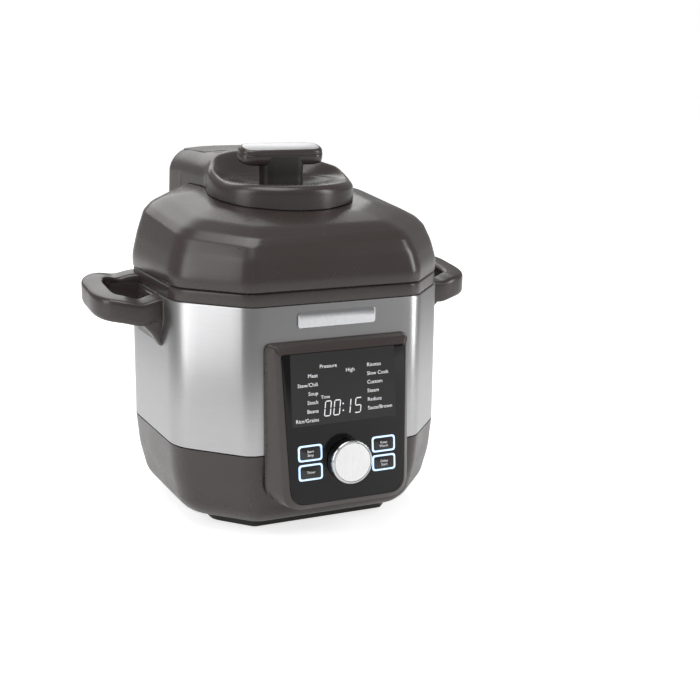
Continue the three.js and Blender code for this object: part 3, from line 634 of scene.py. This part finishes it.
def loop_rings(side):
    """The thick loop of one handle, which dips a little where it leaves the body."""
    corners = [(136, -37), (166, -40), (187.4, -28), (187.4, 32), (166, 46), (136, 43)]
    path = finely(rounded(corners, [0, 16, 20, 20, 16, 0], 10), 4, closed=False)
    section = rounded([(-10.5, -22), (10.5, -22), (10.5, 0), (-10.5, 0)], [5, 6, 4.5, 4.5], 6, closed=True)
    rings = []
    for i, here in enumerate(path):
        along = path[min(i + 1, len(path) - 1)] - path[max(i - 1, 0)]
        along = along / np.linalg.norm(along)
        outward = np.array([along[1], -along[0]])
        width = 1.0 + 0.05 * max(0.0, (150 - here[0]) / 15)
        flat = here + np.outer(section[:, 0] * width, outward)
        dip = 3.5 * math.exp(-((here[0] - 158) / 11) ** 2)
        height = GRIP_TOP - dip + section[:, 1] + GRIP_SLOPE * flat[:, 1]
        rings.append(np.column_stack([flat[:, 0] * side, flat[:, 1], height]))
    return rings


def bracket_rings(side, end):
    """The block under one end of the loop, which narrows down to its tip. The rear one stands higher."""
    raised = 1 if end < 0 else 9
    levels = [(172.6, 134.6, 139.5, 36, 44.5), (174, 134.6, 141.0, 35.4, 47), (186, 134.6, 149, 34.4, 50.5),
              (198, 134.6, 160.5, 34, 52), (206, 134.6, 170, 34, 52.4), (214, 134.6, 170, 34.5, 52.4)]
    rings = []
    for z, near, far, inner, outer in levels:
        corners = [(near, inner), (far, inner), (far, outer), (near, outer)]
        flat = rounded(corners, [0, 3.5, 5, 0], 5, closed=True)
        height = np.full(len(flat), z + raised)
        rings.append(np.column_stack([flat[:, 0] * side, (flat[:, 1] - 5) * end, height]))
    return rings


def flange_rings(side):
    """The flat pad between the brackets and the steel."""
    corners = [(-52.5, 219.5), (-50.5, 197), (-35, 175), (35, 175), (50.5, 197), (52.5, 219.5)]
    outline = rounded(corners, [4, 8, 5, 5, 8, 4], 6, closed=True)
    rings = []
    for reach, inset in ((135.2, 0), (138.6, 0), (139.6, 1.0)):
        drawn = toward_middle(outline, inset, (0, 199))
        rings.append(np.column_stack([np.full(len(drawn), reach * side), drawn]))
    return rings


for side_name, side in (("left", -1), ("right", 1)):
    grip_facts = (charcoal, "housing", [f"handle_{side_name}"], "charcoal")
    bracket_facts = (charcoal, "housing", (), "charcoal")
    closed_piece(f"grip_{side_name}", loop_rings(side), *grip_facts, sharp=50)
    for end_name, end in (("front", -1), ("rear", 1)):
        closed_piece(f"bracket_{side_name}_{end_name}", bracket_rings(side, end), *bracket_facts, sharp=40)
    closed_piece(f"flange_{side_name}", flange_rings(side), *bracket_facts, sharp=40)

# ---- Control panel ----------------------------------------------------------------------------------
# A wedge-shaped bezel on the front carries one sheet of black glass, tilted back by five degrees. The
# display shines through the upper half of the glass.
PANEL_TILT = math.radians(5)
STAND_OFF, PANEL_Z = 23.0, 112.0


def on_glass(x, depth, up):
    """A point of the panel: right, into the body, and up the glass, in millimetres."""
    y = depth * math.cos(PANEL_TILT) + up * math.sin(PANEL_TILT)
    z = up * math.cos(PANEL_TILT) - depth * math.sin(PANEL_TILT)
    return (x, -(HALF_DEPTH + STAND_OFF) + y, PANEL_Z + z)


def panel_line(top_half, bottom_half, low, high, bottom_corner, top_corner):
    """The outline of the panel at one depth: narrower at the bottom, with rounder lower corners."""
    corners = [(-bottom_half, low), (bottom_half, low), (top_half, high), (-top_half, high)]
    return rounded(corners, [bottom_corner, bottom_corner, top_corner, top_corner], 10, closed=True)


def on_front(outline, proud):
    """An outline on the front of the body, which stands proud of it."""
    return [(x, -HALF_DEPTH - proud, z) for x, z in outline]


back_line = panel_line(72, 72, 34, 190, 27, 7)
bezel_rings = [on_front(back_line, -0.2), on_front(back_line, 2.2)]
bezel_rings.append(on_front(panel_line(71.6, 71.4, 34.3, 189.6, 27, 7), 2.6))
for half_top, half_bottom, low, high, depth, lower_corner, upper_corner in (
        (67.6, 63.4, -75.3, 77.2, 4.6, 20, 4), (67.0, 62.8, -74.7, 76.4, 3.8, 20, 4),
        (63.4, 58.4, -70.6, 70.8, 0.1, 16, 3), (62.7, 57.5, -70.0, 70.1, 0.0, 16, 3),
        (62.6, 57.4, -69.9, 70.0, 2.4, 16, 3)):
    ring = panel_line(half_top, half_bottom, low, high, lower_corner, upper_corner)
    bezel_rings.append([on_glass(x, depth, up) for x, up in ring])
closed_piece("bezel_frame", bezel_rings, charcoal, "housing", ["control_bezel"], "charcoal", sharp=22)


def clouded(name, low, high, gloss, scale, detail=2.0):
    """A smooth material whose shade and gloss change a little from place to place, and its shader."""
    material, tree, shader = new_material(name)
    coordinate = new_node(tree, "ShaderNodeTexCoord")
    noise = new_node(tree, "ShaderNodeTexNoise", {"Scale": scale, "Detail": detail})
    link(coordinate, "Object", noise, "Vector")
    mix = new_node(tree, "ShaderNodeMix", {"A": low, "B": high}, data_type="RGBA")
    link(noise, "Fac", mix, "Factor")
    link(mix, "Result", shader, "Base Color")
    roughness = new_node(tree, "ShaderNodeMapRange", {"To Min": gloss[0], "To Max": gloss[1]})
    link(noise, "Fac", roughness, "Value")
    link(roughness, "Result", shader, "Roughness")
    return material, shader


glass_black, glass_shader = clouded("glass_black", linear(16, 15, 15), linear(11, 11, 11), (0.1, 0.2), 35, 5)
glass_shader.inputs["IOR"].default_value = 1.35
glass_line = panel_line(62.3, 57.1, -69.6, 69.7, 16, 3)
glass_levels = ((glass_line, 2.0), (glass_line, 0.0), (toward_middle(glass_line, 0.4, (0, 0)), -0.25))
glass_rings = [[on_glass(x, depth, up) for x, up in outline] for outline, depth in glass_levels]
closed_piece("glass_sheet", glass_rings, glass_black, "housing", ["display_glass"], "black_glass")

window_tone, window_shader = clouded("window_tone", linear(40, 39, 39), linear(46, 45, 45), (0.12, 0.2), 20)
window_shader.inputs["IOR"].default_value = 1.35
window_line = rounded_rectangle(52.5, 33.2, 2, (-1.5, 36.4))
window_rings = [[on_glass(x, depth, up) for x, up in window_line] for depth in (-0.2, -0.35)]
closed_piece("display_window", window_rings, window_tone, "housing", (), "black_glass")

# ---- Display legends --------------------------------------------------------------------------------
# The words and the clock of the display are printed masks with white lamps behind them. They name cooking
# programs and the time.
def shining(name, colour, power):
    """A material that shines, with a faint unevenness of the lamp behind it."""
    material, tree, shader = new_material(name)
    shader.inputs["Base Color"].default_value = colour
    shader.inputs["Roughness"].default_value = 0.4
    shader.inputs["Emission Strength"].default_value = power
    coordinate = new_node(tree, "ShaderNodeTexCoord")
    spot = new_node(tree, "ShaderNodeTexNoise", {"Scale": 160})
    link(coordinate, "Object", spot, "Vector")
    dimmed = tuple(v * 0.75 for v in colour[:3]) + (1,)
    mix = new_node(tree, "ShaderNodeMix", {"A": dimmed, "B": colour}, data_type="RGBA")
    link(spot, "Fac", mix, "Factor")
    link(mix, "Result", shader, "Emission Color")
    return material


legend_white = shining("legend_white", linear(205, 205, 208), 0.7)


def word_faces(text, size, x, up, align):
    """A word as flat triangles on the glass."""
    curve = bpy.data.curves.new("word", "FONT")
    curve.body = text
    curve.size = size
    curve.align_x = align
    curve.resolution_u = 3
    letter = bpy.data.objects.new("word", curve)
    bpy.context.scene.collection.objects.link(letter)
    bpy.context.view_layer.update()
    mesh = bpy.data.meshes.new_from_object(letter.evaluated_get(bpy.context.evaluated_depsgraph_get()))
    points = [(x + v.co.x, up + v.co.y) for v in mesh.vertices]
    faces = [tuple(p.vertices) for p in mesh.polygons]
    bpy.data.objects.remove(letter)
    return points, faces


def legend_piece(name, parts, lift, body):
    """All the flat shapes of one legend as one piece just above the glass."""
    points, faces = [], []
    for part_points, part_faces in parts:
        start = len(points)
        points += [on_glass(x, -lift, up) for x, up in part_points]
        faces += [tuple(start + i for i in face) for face in part_faces]
    mesh_piece(name, points, faces, legend_white, body, (), "light_frame")


LETTER, LEGEND_LIFT = 4.9, 0.45
LEFT_STEP, RIGHT_STEP = 8.15, 8.1             # from one line of words to the next
left_words = ["Meat", "Stew/Chili", "Soup", "Stock", "Beans", "Rice/Grains"]
right_words = ["Risotto", "Slow Cook", "Custom", "Steam", "Reduce", "Saute/Brown"]
words = [word_faces(text, LETTER, -27.5, 47.2 - LEFT_STEP * i, "RIGHT") for i, text in enumerate(left_words)]
words += [word_faces(text, LETTER, 22.0, 52.4 - RIGHT_STEP * i, "LEFT") for i, text in enumerate(right_words)]
words += [word_faces("Pressure", LETTER, -25.5, 55.0, "LEFT"), word_faces("High", LETTER, 0.5, 49.6, "LEFT")]
words += [word_faces("Time", LETTER * 0.9, -25.0, 26.9, "LEFT")]
legend_piece("display_words", words, LEGEND_LIFT, "housing")

SEGMENTS = {"0": "abcdef", "1": "bc", "5": "acdfg"}
DIGIT_WIDTH, DIGIT_HEIGHT, STROKE, LEAN = 5.8, 13.6, 0.95, 0.12


def bar_face(x0, y0, x1, y1):
    """One lit bar of a digit, pointed at both ends."""
    along = np.array([x1 - x0, y1 - y0])
    along = along / np.linalg.norm(along)
    aside = np.array([-along[1], along[0]]) * STROKE / 2
    a, b = np.array([x0, y0]) + along * 0.25, np.array([x1, y1]) - along * 0.25
    tip = along * STROKE / 2
    return [a, a + tip + aside, b - tip + aside, b, b - tip - aside, a + tip - aside]


def digit_faces(digit, x, low):
    """The lit bars of one digit."""
    w, h = DIGIT_WIDTH, DIGIT_HEIGHT
    lines_of = {"a": (0, h, w, h), "b": (w, h / 2, w, h), "c": (w, 0, w, h / 2), "d": (0, 0, w, 0),
                "e": (0, 0, 0, h / 2), "f": (0, h / 2, 0, h), "g": (0, h / 2, w, h / 2)}
    points, faces = [], []
    for segment in SEGMENTS[digit]:
        ring = bar_face(*lines_of[segment])
        faces.append(tuple(range(len(points), len(points) + 6)))
        points += [(x + p[0] + LEAN * p[1], low + p[1]) for p in ring]
    return points, faces


clock = [digit_faces(digit, x, 10.6) for digit, x in (("0", -22.0), ("0", -12.8), ("1", -2.2), ("5", 8.6))]
for up in (14.0, 20.4):
    dot = [(-3.6, up - 0.65), (-2.3, up - 0.65), (-2.3, up + 0.65), (-3.6, up + 0.65)]
    clock.append((dot, [(0, 1, 2, 3)]))
legend_piece("display_clock", clock, LEGEND_LIFT, "housing")

# ---- Buttons ----------------------------------------------------------------------------------------
# Four small black caps sit in frames of clear plastic that glow blue-white at the rim. Each cap presses
# straight in on its switch.
BUTTON_X, BUTTON_ROWS = 37.3, (-22.0, -39.8)
CAPTION = 3.4
button_black = grained_plastic("button_black", linear(34, 32, 32), 0.3, 600, 0.06)
rim_glow = shining("rim_glow", linear(188, 214, 246), 1.15)
captions = [("Start", "Stop"), ("Keep", "Warm"), ("Timer",), ("Delay", "Start")]
places = [(side * BUTTON_X, up) for up in BUTTON_ROWS for side in (-1, 1)]
for number, ((x, up), lines_of_text) in enumerate(zip(places, captions), 1):
    outer = rounded_rectangle(12.0, 7.5, 3.2, (x, up), 6)
    middle = rounded_rectangle(11.2, 6.8, 2.8, (x, up), 6)
    inner = rounded_rectangle(10.3, 5.9, 2.4, (x, up), 6)
    rim_levels = ((outer, 1.5), (outer, -0.6), (middle, -1.15), (inner, -0.7), (inner, 1.5))
    rim_rings = [[on_glass(a, depth, b) for a, b in outline] for outline, depth in rim_levels]
    looped_piece(f"rim_{number}", rim_rings, rim_glow, "housing", [f"button_light_{number}"], "light_frame")
    cap = rounded_rectangle(10.2, 5.8, 2.2, (x, up), 6)
    cap_levels = ((cap, 3), (cap, -0.9), (toward_middle(cap, 0.6, (x, up)), -1.4))
    cap_rings = [[on_glass(a, depth, b) for a, b in outline] for outline, depth in cap_levels]
    button = f"button_{number}"
    closed_piece(f"cap_{number}", cap_rings, button_black, button, [button], "dark_plastic")
    first_line = up - 1.1 + (1.6 if len(lines_of_text) == 2 else 0)
    rows = [(text, first_line - CAPTION * i) for i, text in enumerate(lines_of_text)]
    marks = [word_faces(text, CAPTION, x, row, "CENTER") for text, row in rows]
    legend_piece(f"caption_{number}", marks, 1.45, button)

# ---- Dial -------------------------------------------------------------------------------------------
# A turned knob with a polished skirt and a satin face, set apart by a fine groove. It turns without a stop
# and presses in to choose.
KNOB_UP = -33.0


def dial_rings(profile, sides=96):
    """Rings about the dial's axis from pairs of radius and depth."""
    spin = np.linspace(0, 2 * math.pi, sides + 1)[:-1]
    circle = [(math.cos(a), math.sin(a)) for a in spin]
    return [[on_glass(r * c, depth, KNOB_UP + r * s) for c, s in circle] for r, depth in profile]


polished = brushed_metal("polished_chrome", linear(200, 201, 203), 0.06, (300, 300, 300), 0.01)
knob_face = brushed_metal("dial_face", linear(252, 252, 252), 0.34, (900, 900, 60), 0.03)
knob_face.node_tree.nodes["Principled BSDF"].inputs["Metallic"].default_value = 0.1
skirt_corners = [(3.6, -1.2), (20.2, -1.2), (20.6, -1.6), (20.6, -10.4)]
skirt_corners += [(19.6, -12.0), (18.3, -12.0), (18.3, -10.0), (3.6, -10.0)]
skirt = rounded(skirt_corners, [0, 0.2, 0.3, 1.0, 0.5, 0.2, 0.2, 0], 4)
looped_piece("dial_skirt", dial_rings(skirt), polished, "knob", ["selector_knob"], "chrome_trim")
face_corners = [(0.05, -10.2), (17.9, -10.2), (17.9, -12.0), (17.2, -12.5), (8, -12.6), (0.05, -12.6)]
face = rounded(face_corners, [0, 0.2, 0.4, 0.6, 3, 0], 4)
mesh_piece("dial_cap", *skin(dial_rings(face)), knob_face, "knob", ["knob_cap"], "satin_steel")

# ---- Blank badge ------------------------------------------------------------------------------------
# A thin polished plate with nothing on it, glued to the band above the panel.
badge_line = rounded_rectangle(39, 7.4, 3.6, (0, 208.5), 8)
badge_rings = [on_front(badge_line, 0.3), on_front(badge_line, 1.0)]
badge_rings.append(on_front(toward_middle(badge_line, 0.4, (0, 208.5)), 1.2))
closed_piece("badge_plate", badge_rings, polished, "housing", ["front_badge"], "chrome_trim")

# ---- Underside: bottom plate, screws and feet -------------------------------------------------------
# A dark moulded plate closes the base. Four steel screws hold it, and four soft rubber feet are pressed
# into it, so that the cooker stands a little above the table.
def paint(names, material):
    """Gives CAD nodes that stay in view their material."""
    for name in names:
        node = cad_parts[name]
        node.data.materials.clear()
        node.data.materials.append(material)


plain_steel = brushed_metal("plain_steel", linear(190, 190, 192), 0.28, (250, 250, 900), 0.05)
foot_rubber = grained_plastic("foot_rubber", linear(34, 33, 33), 0.75, 500, 0.3)
paint(["bottom_plate"], dark_plastic)
paint([f"base_screw_{number}" for number in (1, 2, 3, 4)], plain_steel)
paint([f"foot_{number}" for number in (1, 2, 3, 4)], foot_rubber)

# ---- Power inlet ------------------------------------------------------------------------------------
# The socket for the loose mains lead sits in a hole in the rear of the base. Three plated blades stand in
# it and lead to the power board.
carve(base_shell, [(rounded_rectangle(22.4, 20, 2, (0, 128)), 25.6, 62.4)])
paint(["power_inlet"], dark_plastic)
blade_brass = brushed_metal("blade_brass", linear(196, 184, 150), 0.25, (300, 300, 300), 0.02)
for number, (x, z) in enumerate(((-7, 42), (0, 48), (7, 42)), 1):
    corners = [(x - 1, 112.2), (x + 1, 112.2), (x + 1, 124), (x - 1, 124)]
    blade = rounded(corners, [0, 0, 0.8, 0.8], 4, closed=True)
    shape = prism(blade, z - 3, z + 3)
    mesh_piece(f"inlet_blade_{number}", *shape, blade_brass, "housing", (), "satin_steel")

# ---- Heating well, plate and sensor -----------------------------------------------------------------
# A drawn aluminium well hangs from the collar. The cast plate at its foot heats the pot, and a sprung
# sensor in the plate's middle touches the pot's underside.
cast_metal = brushed_metal("cast_metal", linear(150, 150, 152), 0.42, (420, 420, 420), 0.22)
well_metal = brushed_metal("well_metal", linear(178, 178, 180), 0.36, (60, 60, 1400), 0.08)
paint(["heating_well"], well_metal)
paint(["heating_plate"], cast_metal)
paint(["pot_sensor", "sensor_spring"], plain_steel)
paint(["sensor_cup"], dark_plastic)

# ---- Lug ring ---------------------------------------------------------------------------------------
# A pressed steel ring in the collar, with six lugs that the lock ring of the lid slides under.
lug_steel = brushed_metal("lug_steel", linear(186, 186, 188), 0.32, (80, 80, 1800), 0.1)
paint(["lug_ring"], lug_steel)

# ---- Inner pot --------------------------------------------------------------------------------------
# A removable steel pot, polished round its wall, with a rolled rim and a fine ring for the level. It lifts
# straight out of the well.
def turned(profile, sides=128):
    """Rings about the pot's axis from pairs of radius and height."""
    spin = np.linspace(0, 2 * math.pi, sides + 1)[:-1]
    circle = np.column_stack([np.cos(spin), np.sin(spin)])
    return [np.column_stack([r * circle, np.full(sides, float(z))]) for r, z in profile]


pot_steel = brushed_metal("pot_steel", linear(200, 200, 202), 0.22, (25, 25, 2600), 0.06)
pot_profile = rounded(
    [(0.05, 68.9), (100, 68.9), (109.6, 73), (109.6, 223.6), (113.6, 224.2), (114.1, 226), (112.6, 226.9),
     (108.4, 225.2), (108.1, 160.6), (108.5, 160), (108.1, 159.4), (108.1, 74.5), (99, 70.4), (0.05, 70.4)],
    [0, 8, 10, 2, 0.8, 0.6, 1, 2, 0.2, 0.2, 0.2, 12, 9, 0], 5)
mesh_piece("pot_wall", *skin(turned(pot_profile)), pot_steel, "housing", ["inner_pot"], "satin_steel")

# ---- Boards behind the panel and in the base --------------------------------------------------------
# Green circuit boards with copper tracks: one drives the heater, one carries the display, the switches and
# the encoder of the dial.
board_green, board_tree, board_shader = new_material("board_green")
board_where = new_node(board_tree, "ShaderNodeTexCoord")
cell_look = {"distance": "MANHATTAN", "feature": "DISTANCE_TO_EDGE"}
board_cells = new_node(board_tree, "ShaderNodeTexVoronoi", {"Scale": 260}, **cell_look)
link(board_where, "Object", board_cells, "Vector")
board_tracks = new_node(board_tree, "ShaderNodeMath", {1: 0.06}, operation="LESS_THAN")
link(board_cells, "Distance", board_tracks, 0)
board_tints = {"A": linear(22, 78, 48), "B": linear(120, 128, 70)}
board_mix = new_node(board_tree, "ShaderNodeMix", board_tints, data_type="RGBA")
link(board_tracks, "Value", board_mix, "Factor")
link(board_mix, "Result", board_shader, "Base Color")
board_gloss = new_node(board_tree, "ShaderNodeMapRange", {"To Min": 0.35, "To Max": 0.22})
link(board_tracks, "Value", board_gloss, "Value")
link(board_gloss, "Result", board_shader, "Roughness")
paint(["power_board", "control_board"], board_green)
paint(["display_module"], dark_plastic)
paint(["dial_encoder", "dial_spindle"], plain_steel)

# ---- Pressure lid, gasket and valves ----------------------------------------------------------------
# A drawn steel disc takes the pressure under the cover. A soft silicone ring seals it on the pot, and the
# exhaust pipe with its weight and the float valve pass through it.
disc_steel = brushed_metal("disc_steel", linear(196, 196, 198), 0.25, (900, 40, 40), 0.06)
paint(["pressure_lid"], disc_steel)
silicone = grained_plastic("silicone", linear(176, 174, 168), 0.55, 400, 0.12)
paint(["sealing_gasket"], silicone)
paint(["exhaust_pipe", "pressure_weight", "float_valve"], plain_steel)

# ---- Lock ring and its drive ------------------------------------------------------------------------
# The ring turns round the pressure lid and grips the lugs. Three arms carry it from the shaft of the
# lock handle.
paint(["lock_ring", "lock_spider"], lug_steel)
paint(["lock_shaft", "handle_screw"], plain_steel)

# ---- Hinge ------------------------------------------------------------------------------------------
# Two arms of the console reach down behind the body to a steel pin in a riveted bracket, and a coil spring
# round the pin holds the open lid.
arm_side = rounded([(152, 300), (152, 223.4), (168, 223.4), (168, 300)], [0, 7.4, 7.4, 0], 8, closed=True)
for arm_name, near, far in (("left", -57.4, -50), ("right", 50, 57.4)):
    arm_rings = []
    for x, inset in ((near, 0.6), (near + 0.6, 0), (far - 0.6, 0), (far, 0.6)):
        drawn = toward_middle(arm_side, inset, (160, 261.7))
        arm_rings.append(np.column_stack([np.full(len(drawn), x), drawn]))
    closed_piece(f"hinge_arm_{arm_name}", arm_rings, charcoal, "lid", (), "charcoal", sharp=40)
paint(["hinge_bracket", "hinge_pin", "lid_spring"], plain_steel)

# ---- Condensate cup ---------------------------------------------------------------------------------
# A clear smoke-grey cup hangs on a rail below the hinge and catches the drops from the lid. It slides
# straight back.
smoke_tints = (linear(120, 118, 114), linear(138, 136, 132))
smoke_clear, smoke_shader = clouded("smoke_clear", *smoke_tints, (0.06, 0.18), 60)
smoke_shader.inputs["Transmission Weight"].default_value = 0.75
smoke_shader.inputs["IOR"].default_value = 1.49
paint(["condensate_cup"], smoke_clear)
paint(["cup_rail"], dark_plastic)
